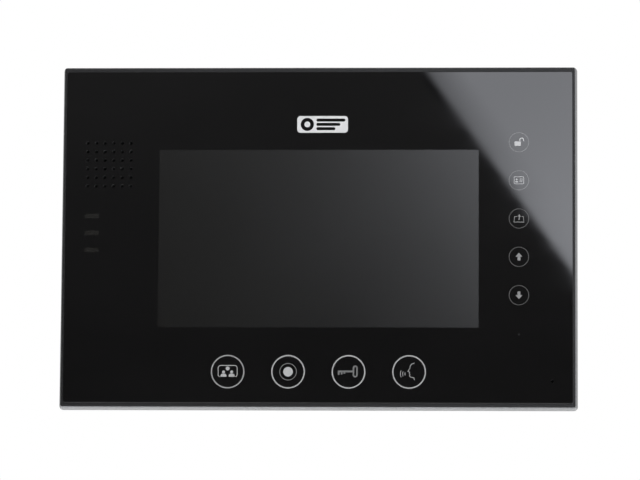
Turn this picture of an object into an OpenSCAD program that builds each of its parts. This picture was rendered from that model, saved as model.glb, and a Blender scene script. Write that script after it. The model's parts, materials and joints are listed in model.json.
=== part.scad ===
// Wall-mounted video intercom monitor with a flat touch front.
// Every module draws in panel coordinates: X to the viewer's right, Y up,
// Z out of the wall, with the wall plane at Z = 0. upright() then turns the
// panel so that Z points up and the wall is the plane Y = 0.

/* [Outline] */
// Width over the silver trim
body_w = 250; // [248:0.5:254]
// Height over the silver trim
body_h = 167.4; // [165:0.2:170]
// Depth from the wall to the front of the panel
body_d = 24; // [24:0.5:27]
// Width of the silver trim seen from the front
trim_show = 1.25; // [1.1:0.05:1.4]
// Width of the black lip at the left and right of the panel
lip_side = 1; // [0.9:0.05:1.2]
// Height of the black lip above and below the panel
lip_end = 1.75; // [1.5:0.05:1.9]

/* [Front panel] */
// Thickness of the clear panel
panel_t = 3; // [2.6:0.1:3]
// Width of the clear window in the black print
window_w = 154.6; // [150:0.2:155]
// Height of the clear window in the black print
window_h = 86.4; // [82:0.2:87]
// Height of the window's centre over the panel's centre
window_y = -0.9; // [-1:0.1:1]

/* [Touch keys] */
// Distance between the keys in the bottom row
main_pitch = 29.1; // [27:0.1:29.5]
// Distance of the bottom row's middle from the panel's centre
main_shift = 0.4; // [0:0.1:0.6]
// Height of the bottom row over the panel's centre
main_y = -65.6; // [-66:0.1:-65]
// Radius of the ring printed round a bottom key
main_r = 7.8; // [7:0.1:8]
// Distance of the side column from the panel's centre
side_x = 96.7; // [96:0.1:97]
// Height of the top key in the side column
side_top = 46; // [45:0.1:47]
// Distance between the keys in the side column
side_pitch = 18.6; // [18:0.1:19]
// Radius of the ring printed round a side key
side_r = 4.7; // [4.2:0.1:4.8]

/* [Sound] */
// Distance of the speaker from the panel's centre line, to the left
speaker_x = -101.8; // [-102.5:0.1:-101.5]
// Height of the speaker over the panel's centre
speaker_y = 35.2; // [35:0.1:38]
// Sound holes in each row and column
sound_holes = 6; // [5:1:6]
// Distance between sound holes
sound_pitch = 4.2; // [3.6:0.1:4.3]
// Diameter of a sound hole
sound_d = 1.6; // [1.2:0.1:1.8]

/* [Adjusters] */
// Radius of a thumbwheel
wheel_r = 8.2; // [8:0.1:8.4]
// Thickness of a thumbwheel
wheel_t = 2.5; // [2.2:0.1:2.6]
// Distance between the thumbwheels
wheel_pitch = 22; // [21:0.5:23]
// Travel of the power switch
switch_travel = 2.4; // [2:0.1:2.6]

/* [Wall bracket] */
// Width of the bracket
bracket_w = 132; // [128:1:134]
// Height of the bracket
bracket_h = 104; // [102:1:104]
// Thickness of the bracket's sheet
bracket_t = 1.2; // [1:0.1:1.3]
// Distance that the monitor is lifted to unhook it
lift = 7; // [6:0.5:7]
// Distance across the wall screws
screw_x = 116; // [114:1:118]
// Distance up the wall screws
screw_y = 60; // [58:1:62]

/* [Hidden] */
$fn = 48;
eps = 0.01;
slack = 0.1;

// Depths of the layers, from the wall outwards
panel_back = body_d - panel_t;
ink_t = 0.08;
print_t = 0.12;
print_back = panel_back - ink_t - print_t;
deck_top = panel_back - 0.8;
deck_t = 1.4;
deck_back = deck_top - deck_t;
seam_z = body_d - 11.8;
board_t = 1.6;
board_z = body_d - 12.6;
board_top = board_z + board_t;
key_board_z = body_d - 10;
key_board_top = key_board_z + board_t;
board_r = 1.5;
main_hole_r = 1.7;

// Boards behind the keys and the indicators
key_board_w = 112;
key_board_h = 17;
side_board_w = 13.6;
side_board_h = 108;
side_board_y = 1;
lamp_board_w = 11;
lamp_board_h = 32;
lamp_board_r = 1;
lamp_screw_y = 13;
board_hole_r = 1.2;

// Light cups, touch springs and lights behind the keys
main_cup_r = main_r + 0.9;
main_cup_t = 0.9;
side_cup_r = side_r + 1;
side_cup_t = 0.7;
cup_gap = 0.3;
main_spring_r = 6.2;
main_spring_t = 0.6;
side_spring_r = 4;
side_spring_t = 0.5;
main_led_x = 2.5;
main_led = [2.8, 1.4, 0.8];
side_led = [2, 1.2, 0.8];
lamp_led = [3, 1.5, 0.9];

// Front frame and panel
frame_w = body_w - 2 * trim_show;
frame_h = body_h - 2 * trim_show;
trim_r = 2;
frame_r = trim_r - trim_show;
frame_front = body_d - 0.7;
frame_chamfer = 0.4;
seat_w = frame_w - 2 * lip_side;
seat_h = frame_h - 2 * lip_end;
panel_w = seat_w - 2 * slack;
panel_h = seat_h - 2 * slack;
panel_r = 1;
panel_bevel = 0.2;

// The trim's section: a chamfer, a side that widens, and a taper to the back
trim_front = body_d - 1.8;
trim_chamfer = 0.6;
trim_widest = body_d - 6.8;
trim_back = seam_z - 0.6;
trim_taper = 0.75;

// Screen module, a standard 7 inch one
lcd_w = 165;
lcd_h = 100;
lcd_t = 5.7;
lcd_x = 0;
lcd_front = print_back - 0.2;
lcd_back = lcd_front - lcd_t;
lcd_sheet = 0.4;
lcd_gap = 0.3;
cell_t = 1.4;
cell_back = lcd_front - lcd_sheet - cell_t;

// Rear cover
cover_t = 2;
cover_back = 0.6;
cover_floor = cover_back + cover_t;
// Deep enough for the heads of the wall screws
pocket_back = bracket_t + 2.6;
pocket_floor = pocket_back + 1.8;
back_w = body_w - 14;
back_h = body_h - 14;
back_r = 6;
back_bevel = 2;
back_rise = 1.8;
seam_step = 0.2;
seam_r = 1.4;
pocket_gap = 2;
pocket_r = 5;
pocket_top = bracket_h / 2 + 1;
pocket_bottom = -bracket_h / 2 - lift - 1;
port_w = 58;
port_h = 36;
port_y = -23;
port_r = 3;

// Screws that hold the case together
case_screw_x = 98;
case_screw_y = 69;
screw_r = 1.45;
pilot_r = 1.5;
small_screw_r = 1;
small_pilot_r = 1.05;
case_boss_r = 5;
case_boss_top = cover_floor + 4;
case_seat = cover_back + 2.6;
case_head_r = 2.9;
case_post_r = 3.5;
main_post_r = 3.4;
control_post_r = 3;
board_post_r = 1.8;
clip_post_r = 2.4;
speaker_post_r = 2;

// Hooks on the bracket
hook_x = 46;
hook_ys = [34, -41];
hook_w = 12;
hook_rise = 5;
hook_gap = 0.4;
flange_rise = 1.8;
wall_hole_r = 2.2;
bracket_r = 4;
flange_h = bracket_h - 24;
relief_h = 7;
relief_drop = 4.1;
relief_gap = 1;
relief_r = 1;
// Slots over the two screws of a round flush box
box_screw_x = 30;
box_screw_y = 12;
box_slot = 4;
box_hole_r = 2.1;

// Adjusters on the right side
wheel_x = body_w / 2 - 10.2;
wheel_top_y = 31;
wheel_z = board_z - 3 - wheel_t;
shaft_r = 1.5;
shaft_gap = 0.05;
shaft_top = board_z - 0.8;
shaft_end_gap = 0.2;
flute_step = 12;
flute_r = 0.55;
flute_out = 0.2;
dish_rim = 2.4;
dish_t = 0.5;
pointer_w = 1.4;
pointer_h = 0.8;
pointer_t = 0.4;
pot_r = 5;
pot_t = 2.7;
pot_foot_w = 4;
pot_foot_h = 7;
switch_y = -36;
control_x = wheel_x - 2.6;
control_w = 14.6;
control_h = 88;
control_y = -2;
control_r = 1;
control_screw_x = control_x - 4;
control_screw_ys = [40.5, -44.5];

// Microphone
mic_x = 112.6;
mic_y = -70;
mic_hole_r = 0.75;
mic_r = 3;
mic_top = deck_back + 1;
mic_back = deck_back - 1.6;
mic_gap = 0.1;
boot_r = 4.4;
boot_gap = 0.2;
felt_t = 0.3;
felt_r = mic_r - 0.2;

// Indicators
lamp_x = -109.8;
lamp_y = 1.7;
lamp_pitch = 8.3;
lamp_ys = [lamp_y + lamp_pitch, lamp_y, lamp_y - lamp_pitch];
lamp_w = 6.8;
lamp_h = 2.2;
lamp_gap = 0.2;
lens_lift = 1;
status_y = -47.3;
status_r = 0.6;
pipe_r = 1;
pipe_gap = 0.05;

// Speaker
speaker_r = 18;
speaker_front = deck_back - 0.6;
speaker_open_r = 15.5;
gasket_in_r = 15.6;
dust_cloth_r = 17;
dust_cloth_t = 0.3;
speaker_screw_r = speaker_r + 2.4;
speaker_screw_turns = [55, 235];
magnet_z = speaker_front - 5.4;
magnet_r = 10.5;
magnet_t = 3;
pole_r = 9.5;
pole_t = 1;
coil_gap_r = 4.6;

// Badge
badge_x = 1.7;
badge_y = 54.8;
badge_w = 24.6;
badge_h = 8.2;
badge_r = 1.6;

// Main board. Chips are [x, y, width, height], and cans are [x, y]
main_x = -5;
main_board_y = -2;
main_w = 134;
main_h = 88;
front_chips = [[-20, 12, 14, 14], [6, 12, 10, 12], [-45, 8, 10, 10], [30, 8, 9, 9]];
front_chip_t = 1.2;
back_chips = [[-20, 22, 6, 5], [-8, 22, 6, 5], [8, 24, 5, 4], [20, 10, 8, 5], [-24, 4, 10, 6]];
back_chip_t = 1.6;
can_places = [[-30, 32], [-20, 32], [-8, 31], [18, 30], [28, 30]];
can_r = 3.15;
can_t = 4.6;
coil_places = [[4, 34], [36, 18]];
coil_w = 7.3;
coil_t = 4.2;
coil_r = 1.2;
relay_x = -6;
relay_y = 10;
relay_w = 15;
relay_h = 9.6;
relay_r = 0.8;
relay_t = 4.8;
main_screw_inset = 3.6;
header_xs = [-19, -6.5, 6, 18.5];
header_y = -22;
header_t = 4.8;
header_w = 10.4;
header_h = 5.8;
header_wall = 0.7;
header_floor = 1;
pin_pitch = 2;
pin_r = 0.3;
pin_gap = 0.1;
pin_recess = 0.6;
ribbon_x = lcd_x;
ribbon_w = 34;
ribbon_t = 0.25;
ribbon_y = window_y - lcd_h / 2 + 12;
ribbon_fold = 15;
ribbon_foot = 4.6;
ribbon_rise = 1;
connector_w = ribbon_w + 4;
connector_h = 5;
connector_t = 1.5;
connector_y = ribbon_y - 2.1;

// Screen retainers
retainer_x = 60;
retainer_reach = lcd_h / 2 + 3.2;
clip_w = 9;
clip_h = 10;
clip_r = 1;
clip_t = 1;
clip_shift = 2.2;

// Power switch
switch_depth = 7;
switch_h = 10;
switch_t = 5;
switch_slot_depth = 4;
switch_face = wheel_x + 2.6;
switch_mid_z = board_z - 2.5;
knob_w = 2.4;
knob_t = 2.6;
knob_length = 10.2;

// Ventilation slots
vent_pitch = 8;
vent_last = 7;
vent_w = 3;
vent_r = 1.4;
top_vent_y = body_h / 2 - 20;
top_vent_h = 14;
low_vent_y = -body_h / 2 + 16;
low_vent_h = 8;

// Openings in the right wall, for the wheels and the switch
side_slot_x = body_w / 2 - 10;
side_slot_depth = 12;
side_slot_gap = 0.4;

// Feet and label
pad_x = 106;
pad_y = 58;
pad_r = 5;
label_x = -93;
label_w = 36;
label_h = 52;
label_r = 1.5;
label_t = 0.1;

// Routes of the leads inside the case
lead_d = 1.6;
speaker_route = [[-94, 24, 10], [-91, 20, 9.4], [-88, 14, 9], [-82, 8, 9],
                 [-76, 6, 10], [-73, 6, 10]];
microphone_route = [[108, -70, 15], [100, -64, 14], [86, -58, 13.4], [76, -50, 12.6],
                    [68, -40, 12], [63, -36, 11.8]];
key_route = [[20, -72, 13.2], [20, -70, 12], [20, -62, 11.6], [20, -56, 11.6],
             [20, -50, 11.8], [20, -46.6, 11.8]];

// ---------- shared shapes ----------

module upright() { rotate([90, 0, 0]) children(); }

module rounded_rect(w, h, r) {
  square([w - 2 * r, h], center = true);
  square([w, h - 2 * r], center = true);
  for (x = [-1, 1], y = [-1, 1])
    translate([x * (w / 2 - r), y * (h / 2 - r)]) circle(r);
}

module slab(w, h, r, z0, z1) {
  translate([0, 0, z0]) linear_extrude(z1 - z0) rounded_rect(w, h, r);
}

module block(w, h, z0, z1) {
  translate([-w / 2, -h / 2, z0]) cube([w, h, z1 - z0]);
}

module disc(r, z0, z1) {
  translate([0, 0, z0]) cylinder(r = r, h = z1 - z0);
}

module tube(r_out, r_in, z0, z1) {
  difference() {
    disc(r_out, z0, z1);
    disc(r_in, z0 - 1, z1 + 1);
  }
}

// Carries a 2D profile round a rounded rectangle. The profile's X is measured
// outwards from the centre of the corner arc, and its Y is the height.
module rim(w, h, r) {
  for (side = [0:3]) {
    reach = side % 2 == 0 ? w : h;
    long = side % 2 == 0 ? h : w;
    rotate([0, 0, 90 * side]) translate([reach / 2 - r, long / 2 - r, 0]) {
      rotate([90, 0, 0]) linear_extrude(long - 2 * r) children();
      rotate_extrude(angle = 90) children();
    }
  }
}

// A pan-head screw whose head's flat underside is at z, pointing to +Z
module screw(z, length, head_r = 2.6, head_t = 1.6, r = screw_r) {
  difference() {
    union() {
      disc(head_r, z - head_t, z);
      disc(r, z, z + length);
    }
    for (a = [0, 90])
      rotate([0, 0, a]) block(head_r * 1.2, 0.6, z - head_t - 1, z - head_t + 0.7);
  }
}

module at_main_key(i) {
  translate([main_shift + (i - 1.5) * main_pitch, main_y, 0]) children();
}

module at_main_keys() {
  for (i = [0:3]) at_main_key(i) children();
}

module at_side_keys() {
  for (i = [0:4]) translate([side_x, side_top - i * side_pitch, 0]) children();
}

// The screws of the bottom, side and indicator boards
module at_board_screws() {
  for (i = [0.5, 2.5]) at_main_key(i) children();
  for (y = [side_top - side_pitch / 2, side_top - 3.5 * side_pitch])
    translate([side_x, y, 0]) children();
  for (s = [-1, 1]) translate([lamp_x, lamp_y + lamp_screw_y * s, 0]) children();
}

module at_sound_holes() {
  last = (sound_holes - 1) / 2;
  for (i = [0:sound_holes - 1], j = [0:sound_holes - 1])
    translate([speaker_x + (i - last) * sound_pitch,
               speaker_y + (j - last) * sound_pitch, 0]) children();
}

module at_corners(x, y) {
  for (i = [-1, 1], j = [-1, 1]) translate([i * x, j * y, 0]) children();
}

// ---------- swept leads ----------

function catmull(a, b, c, d, t) =
  0.5 * (2 * b + (c - a) * t + (2 * a - 5 * b + 4 * c - d) * t * t
         + (3 * b - a - 3 * c + d) * t * t * t);

function smooth_route(p, steps) = [
  for (i = [0:len(p) - 2], k = [0:steps - 1])
    catmull(p[max(i - 1, 0)], p[i], p[i + 1], p[min(i + 2, len(p) - 1)], k / steps),
  p[len(p) - 1]
];

function unit(v) = v / norm(v);

function heading(p, i) = unit(p[min(i + 1, len(p) - 1)] - p[max(i - 1, 0)]);

// A tube of diameter d along route, whose rings are turned out of the heading
module lead(route, d, sides = 8) {
  line = smooth_route(route, 3);
  n = len(line);
  points = [
    for (i = [0:n - 1])
      let (t = heading(line, i), u = unit(cross(t, [0.1, 0.2, 1])), v = cross(t, u))
      for (k = [0:sides - 1])
        line[i] + d / 2 * (cos(360 * k / sides) * u + sin(360 * k / sides) * v)
  ];
  walls = [
    for (i = [0:n - 2], k = [0:sides - 1])
      let (a = i * sides + k, b = i * sides + (k + 1) % sides)
      each [[a, b, b + sides], [a, b + sides, a + sides]]
  ];
  first = [for (k = [1:sides - 2]) [0, k + 1, k]];
  end = (n - 1) * sides;
  last = [for (k = [1:sides - 2]) [end, end + k, end + k + 1]];
  polyhedron(points = points, faces = concat(walls, first, last), convexity = 4);
}

// ---------- wall bracket ----------

module hook() {
  tip_z = pocket_floor + hook_gap;
  block(hook_w, bracket_t, bracket_t - eps, tip_z + bracket_t);
  translate([-hook_w / 2, -bracket_t / 2, tip_z])
    cube([hook_w, bracket_t + hook_rise, bracket_t]);
}

module bracket_plate() {
  color("silver") upright() difference() {
    union() {
      slab(bracket_w, bracket_h, bracket_r, 0, bracket_t);
      for (y = hook_ys, x = [-hook_x, hook_x])
        translate([x, y, 0]) hook();
      // stiffening flanges along both sides
      for (s = [-1, 1]) translate([s * (bracket_w - bracket_t) / 2, 0, 0])
        block(bracket_t, flange_h, bracket_t - eps, bracket_t + flange_rise);
    }
    translate([0, port_y, 0]) slab(port_w, port_h, port_r, -1, bracket_t + 1);
    at_corners(screw_x / 2, screw_y / 2) disc(wall_hole_r, -1, bracket_t + 1);
    for (x = [-box_screw_x, box_screw_x]) translate([x, box_screw_y, 0]) {
      block(box_slot, 2 * box_hole_r, -1, bracket_t + 1);
      for (e = [-1, 1])
        translate([e * box_slot / 2, 0, 0]) disc(box_hole_r, -1, bracket_t + 1);
    }
    // relief under each hook, where the sheet was cut and bent up
    for (y = hook_ys, x = [-hook_x, hook_x]) translate([x, y - relief_drop, 0])
      slab(hook_w + 2 * relief_gap, relief_h, relief_r, -1, bracket_t + 1);
  }
}

// ---------- front panel ----------

module front_panel() {
  color([0.05, 0.05, 0.06, 0.6]) upright() difference() {
    slab(panel_w, panel_h, panel_r, panel_back, body_d);
    // bevel round the front edge
    rim(panel_w, panel_h, panel_r) polygon([
      [panel_r - panel_bevel, body_d + eps], [panel_r + eps, body_d + eps],
      [panel_r + eps, body_d - panel_bevel]
    ]);
    at_sound_holes() disc(sound_d / 2, panel_back - 1, body_d + 1);
    translate([mic_x, mic_y, 0]) disc(mic_hole_r, panel_back - 1, body_d + 1);
  }
}

module legend_ring(r, stroke) {
  tube(r + stroke / 2, r - stroke / 2, panel_back - ink_t, panel_back);
}

module legend_block(w, h) {
  block(w, h, panel_back - ink_t, panel_back);
}

// Simple marks inside the rings, which stand for the printed pictograms
module key_legends() {
  color("white") upright() {
    at_main_keys() legend_ring(main_r, 0.8);
    at_side_keys() legend_ring(side_r, 0.45);
    at_main_key(0) legend_block(8, 4);
    at_main_key(1) disc(2.3, panel_back - ink_t, panel_back);
    at_main_key(2) legend_block(8, 1);
    at_main_key(3) legend_block(1, 7);
    at_side_keys() legend_block(2, 2.4);
  }
}

module badge() {
  color("white") upright() translate([badge_x, badge_y, 0])
    slab(badge_w, badge_h, badge_r, panel_back - ink_t, panel_back);
}

module back_print() {
  color([0.02, 0.02, 0.02]) upright() difference() {
    slab(panel_w, panel_h, panel_r, print_back, panel_back - ink_t);
    translate([lcd_x, window_y, 0]) block(window_w, window_h, 0, body_d);
    at_sound_holes() disc(sound_d / 2, 0, body_d);
    translate([mic_x, mic_y, 0]) disc(mic_hole_r, 0, body_d);
    for (y = lamp_ys) translate([lamp_x, y, 0]) block(lamp_w, lamp_h, 0, body_d);
    translate([side_x, status_y, 0]) disc(status_r, 0, body_d);
  }
}

module panel_tape() {
  color("dimgray") upright() difference() {
    slab(panel_w, panel_h, panel_r, deck_top, print_back);
    slab(panel_w - 5, panel_h - 5, panel_r, 0, body_d);
  }
}

// ---------- frame and trim ----------

// The deck carries the panel: in front of it is the panel's seat, and behind
// it is the space for the screen and the boards
module front_frame() {
  color([0.03, 0.03, 0.03]) upright() {
    difference() {
      slab(frame_w, frame_h, frame_r, seam_z, frame_front);
      slab(seat_w, seat_h, panel_r, deck_top, body_d);
      slab(seat_w, seat_h, panel_r, 0, deck_back);
      // chamfer round the front edge
      rim(frame_w, frame_h, frame_r) polygon([
        [frame_r - frame_chamfer, frame_front + eps], [frame_r + eps, frame_front + eps],
        [frame_r + eps, frame_front - frame_chamfer]
      ]);
      translate([lcd_x, window_y, 0])
        block(lcd_w + 2 * lcd_gap, lcd_h + 2 * lcd_gap, 0, body_d);
      at_main_keys() disc(main_cup_r + cup_gap, 0, body_d);
      at_side_keys() disc(side_cup_r + cup_gap, 0, body_d);
      translate([speaker_x, speaker_y, 0]) disc(speaker_open_r, 0, body_d);
      for (y = lamp_ys) translate([lamp_x, y, 0])
        block(lamp_w + 2 * lamp_gap, lamp_h + 2 * lamp_gap, 0, body_d);
      translate([side_x, status_y, 0]) disc(2 * status_r, 0, body_d);
      translate([mic_x, mic_y, 0]) disc(boot_r + boot_gap, 0, body_d);
    }
    at_corners(case_screw_x, case_screw_y)
      tube(case_post_r, pilot_r, case_boss_top, deck_back + eps);
    frame_posts();
  }
}

// Posts on the back of the deck that the boards, clips and speaker screw to
module frame_posts() {
  at_board_screws() tube(board_post_r, small_pilot_r, key_board_top, deck_back + eps);
  at_retainers() tube(clip_post_r, small_pilot_r, lcd_back, deck_back + eps);
  at_speaker_screws()
    tube(speaker_post_r, small_pilot_r, speaker_front - 1, deck_back + eps);
}

module trim_profile() {
  inner = trim_r - trim_show;
  polygon([
    [inner, trim_back], [trim_r - trim_taper, trim_back], [trim_r, trim_widest],
    [inner + trim_chamfer, trim_front - trim_chamfer], [inner, trim_front]
  ]);
}

module silver_trim() {
  color("silver") upright() rim(body_w, body_h, trim_r) trim_profile();
}

// ---------- screen ----------

module at_lcd() { translate([lcd_x, window_y, 0]) children(); }

module lcd_frame() {
  color("lightgray") upright() at_lcd() difference() {
    block(lcd_w, lcd_h, lcd_back, lcd_front);
    block(lcd_w - 2 * lcd_sheet, lcd_h - 2 * lcd_sheet,
          lcd_back - 1, lcd_front - lcd_sheet);
    block(window_w + 2, window_h + 2, 0, body_d);
  }
}

module lcd_cell() {
  color([0.12, 0.13, 0.13]) upright() at_lcd()
    block(lcd_w - 2, lcd_h - 2, cell_back, lcd_front - lcd_sheet);
}

module lcd_backlight() {
  color("white") upright() at_lcd()
    block(lcd_w - 1, lcd_h - 1, lcd_back, cell_back);
}

module lcd_gasket() {
  color("black") upright() at_lcd() difference() {
    block(lcd_w - 1, lcd_h - 1, lcd_front, print_back);
    block(window_w + 3, window_h + 3, 0, body_d);
  }
}

// Folded down from the screen's back edge to the connector on the main board
module lcd_ribbon() {
  fold_y = ribbon_y - ribbon_fold;
  foot = board_top + ribbon_rise;
  color("orange") upright() translate([ribbon_x - ribbon_w / 2, 0, 0]) rotate([90, 0, 90])
    linear_extrude(ribbon_w) polygon([
      [ribbon_y, lcd_back - ribbon_t], [ribbon_y, lcd_back], [fold_y + 1, lcd_back],
      [fold_y, foot], [fold_y, foot - ribbon_t],
      [ribbon_y - ribbon_foot, foot - ribbon_t], [ribbon_y - ribbon_foot, foot],
      [fold_y + ribbon_t, foot], [fold_y + 1 + ribbon_t, lcd_back - ribbon_t]
    ]);
}

module at_retainers() {
  for (x = [-retainer_x, retainer_x], s = [-1, 1])
    translate([lcd_x + x, window_y + s * retainer_reach, 0]) children();
}

module lcd_retainers() {
  color("silver") upright() for (x = [-retainer_x, retainer_x], s = [-1, 1])
    translate([lcd_x + x, window_y + s * (retainer_reach - clip_shift), 0]) difference() {
      slab(clip_w, clip_h, clip_r, lcd_back - clip_t, lcd_back);
      translate([0, s * clip_shift, 0]) disc(board_hole_r, 0, body_d);
    }
}

module retainer_screws() {
  color("gray") upright() at_retainers()
    screw(lcd_back - clip_t, 3.5, head_r = 2, head_t = 1.1, r = small_screw_r);
}

// ---------- touch keys ----------

module bottom_key_board() {
  color("darkgreen") upright() difference() {
    translate([main_shift, main_y, 0])
      slab(key_board_w, key_board_h, board_r, key_board_z, key_board_top);
    at_board_screws() disc(board_hole_r, 0, body_d);
  }
}

module side_key_board() {
  color("darkgreen") upright() difference() {
    translate([side_x, side_board_y, 0])
      slab(side_board_w, side_board_h, board_r, key_board_z, key_board_top);
    at_board_screws() disc(board_hole_r, 0, body_d);
  }
}

module key_light_cups() {
  color("white") upright() {
    at_main_keys() tube(main_cup_r, main_cup_r - main_cup_t, key_board_top, print_back);
    at_side_keys() tube(side_cup_r, side_cup_r - side_cup_t, key_board_top, print_back);
  }
}

module touch_springs() {
  color("gold") upright() {
    at_main_keys()
      tube(main_spring_r, main_spring_r - main_spring_t, key_board_top, print_back);
    at_side_keys()
      tube(side_spring_r, side_spring_r - side_spring_t, key_board_top, print_back);
  }
}

// A light of this [width, height, thickness] on a board behind the panel
module led(size) {
  block(size[0], size[1], key_board_top, key_board_top + size[2]);
}

module key_leds() {
  color("white") upright() {
    at_main_keys() for (x = [-main_led_x, main_led_x])
      translate([x, 0, 0]) led(main_led);
    at_side_keys() led(side_led);
  }
}

module key_board_screws() {
  color("gray") upright() at_board_screws()
    screw(key_board_z, 4, head_r = 1.9, head_t = 1.1, r = small_screw_r);
}

module status_light_pipe() {
  color("whitesmoke") upright() translate([side_x, status_y, 0]) {
    disc(pipe_r, key_board_top, print_back);
    disc(status_r - pipe_gap, print_back - eps, print_back + print_t);
  }
}

// ---------- indicators ----------

module indicator_lenses() {
  color("gainsboro") upright() for (y = lamp_ys) translate([lamp_x, y, 0])
    block(lamp_w - 2 * slack, lamp_h - 2 * slack, key_board_top + lens_lift, print_back);
}

module indicator_board() {
  color("darkgreen") upright() difference() {
    translate([lamp_x, lamp_y, 0])
      slab(lamp_board_w, lamp_board_h, lamp_board_r, key_board_z, key_board_top);
    at_board_screws() disc(board_hole_r, 0, body_d);
  }
}

module indicator_leds() {
  color("ivory") upright() for (y = lamp_ys) translate([lamp_x, y, 0]) led(lamp_led);
}

// ---------- speaker ----------

module at_speaker() { translate([speaker_x, speaker_y, 0]) children(); }

module at_speaker_screws() {
  for (a = speaker_screw_turns) at_speaker()
    rotate([0, 0, a]) translate([speaker_screw_r, 0, 0]) children();
}

module speaker_dust_cloth() {
  color([0.05, 0.05, 0.05]) upright() at_speaker()
    disc(dust_cloth_r, deck_top, deck_top + dust_cloth_t);
}

module speaker_gasket() {
  color("black") upright() at_speaker()
    tube(speaker_r, gasket_in_r, speaker_front, deck_back);
}

module speaker_basket() {
  z = speaker_front;
  color("dimgray") upright() at_speaker() rotate_extrude() polygon([
    [speaker_r, z], [speaker_r, z - 0.8], [16.4, z - 0.8], [12.2, z - 4.6],
    [12.2, z - 5.4], [4.6, z - 5.4], [4.6, z - 4.8], [11.4, z - 4.8], [11.6, z - 4.4],
    [15.9, z - 0.4], [15.9, z]
  ]);
}

module speaker_cone() {
  z = speaker_front;
  color([0.1, 0.1, 0.1]) upright() at_speaker() rotate_extrude() polygon(concat(
    [[15.8, z - 0.1], [15.8, z - 0.3], [14.6, z - 0.3], [4.2, z - 3.2], [4.2, z - 4.6],
     [3.9, z - 4.6], [3.9, z - 2.9]],
    [for (a = [10:10:80]) [3.9 * cos(a), z - 2.9 + 1.4 * sin(a)]],
    [[0, z - 1.5], [0, z - 1.2], [2.2, z - 1.3], [4.4, z - 2.7], [14.6, z - 0.1]]
  ));
}

module speaker_magnet() {
  back = magnet_z - magnet_t;
  color("darkgray") upright() at_speaker() {
    tube(magnet_r, coil_gap_r, back, magnet_z);
    disc(pole_r, back - pole_t, back);
  }
}

module speaker_screws() {
  color("gray") upright() at_speaker_screws()
    screw(speaker_front - 1, 1.5, head_r = 3.2, head_t = 1, r = small_screw_r);
}

// ---------- microphone ----------

module at_mic() { translate([mic_x, mic_y, 0]) children(); }

module microphone_boot() {
  color("black") upright() at_mic() difference() {
    disc(boot_r, mic_back, print_back);
    disc(mic_r + mic_gap, mic_back - 1, mic_top);
    disc(mic_hole_r, deck_back, body_d);
  }
}

module microphone_felt() {
  color([0.05, 0.05, 0.05]) upright() at_mic() disc(felt_r, mic_top - felt_t, mic_top);
}

module microphone() {
  color("silver") upright() at_mic() disc(mic_r, mic_back, mic_top - felt_t);
}

// ---------- main board ----------

module at_main_screws() {
  translate([main_x, main_board_y, 0])
    at_corners(main_w / 2 - main_screw_inset, main_h / 2 - main_screw_inset) children();
}

module main_board() {
  color("darkgreen") upright() difference() {
    translate([main_x, main_board_y, 0]) slab(main_w, main_h, board_r, board_z, board_top);
    at_main_screws() disc(main_hole_r, 0, body_d);
  }
}

module main_board_chips() {
  color([0.08, 0.08, 0.08]) upright() {
    // processor, memory, video decoder and driver, on the front of the board
    for (c = front_chips)
      translate([c[0], c[1], 0]) block(c[2], c[3], board_top, board_top + front_chip_t);
    // regulators and amplifier, on the back of the board
    for (c = back_chips)
      translate([c[0], c[1], 0]) block(c[2], c[3], board_z - back_chip_t, board_z);
  }
}

module capacitors() {
  color("silver") upright()
    for (c = can_places) translate([c[0], c[1], 0]) disc(can_r, board_z - can_t, board_z);
}

module power_inductors() {
  color([0.2, 0.2, 0.2]) upright() for (c = coil_places)
    translate([c[0], c[1], 0]) slab(coil_w, coil_w, coil_r, board_z - coil_t, board_z);
}

module lock_relay() {
  color("white") upright() translate([relay_x, relay_y, 0])
    slab(relay_w, relay_h, relay_r, board_z - relay_t, board_z);
}

module at_headers() {
  for (x = header_xs) translate([x, header_y, 0]) children();
}

module at_pins() {
  for (i = [0:3]) translate([(i - 1.5) * pin_pitch, 0, 0]) children();
}

module wire_headers() {
  mouth = board_z - header_t;
  color("ivory") upright() at_headers() difference() {
    block(header_w, header_h, mouth, board_z);
    block(header_w - 2 * header_wall, header_h - 2 * header_wall,
          mouth - 1, board_z - header_floor);
    at_pins() disc(pin_r + pin_gap, 0, board_z + 1, $fn = 24);
  }
}

module header_pins() {
  color("gold") upright() at_headers() at_pins()
    disc(pin_r, board_z - header_t + pin_recess, board_z, $fn = 24);
}

module ribbon_connector() {
  color("ivory") upright() translate([ribbon_x, connector_y, 0])
    block(connector_w, connector_h, board_top, board_top + connector_t);
}

module main_board_screws() {
  color("gray") upright() at_main_screws() mirror([0, 0, 1])
    screw(-board_top, 6, head_r = 2.8, head_t = 1.5);
}

// ---------- adjusters and switch ----------

module at_wheel(i) {
  translate([wheel_x, wheel_top_y - i * wheel_pitch, 0]) children();
}

module at_control_screws() {
  for (y = control_screw_ys) translate([control_screw_x, y, 0]) children();
}

module control_board() {
  color("darkgreen") upright() difference() {
    translate([control_x, control_y, 0])
      slab(control_w, control_h, control_r, board_z, board_top);
    at_control_screws() disc(main_hole_r, 0, body_d);
  }
}

module control_board_screws() {
  color("gray") upright() at_control_screws() mirror([0, 0, 1])
    screw(-board_top, 6, head_r = 2.4, head_t = 1.5);
}

module adjuster_pots() {
  color("saddlebrown") upright() for (i = [0:2]) at_wheel(i) difference() {
    union() {
      disc(pot_r, board_z - pot_t, board_z);
      translate([-pot_r, 0, 0]) block(pot_foot_w, pot_foot_h, board_z - pot_t, board_z);
    }
    disc(shaft_r + shaft_gap, board_z - pot_t - 1, shaft_top + shaft_end_gap);
  }
}

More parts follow.
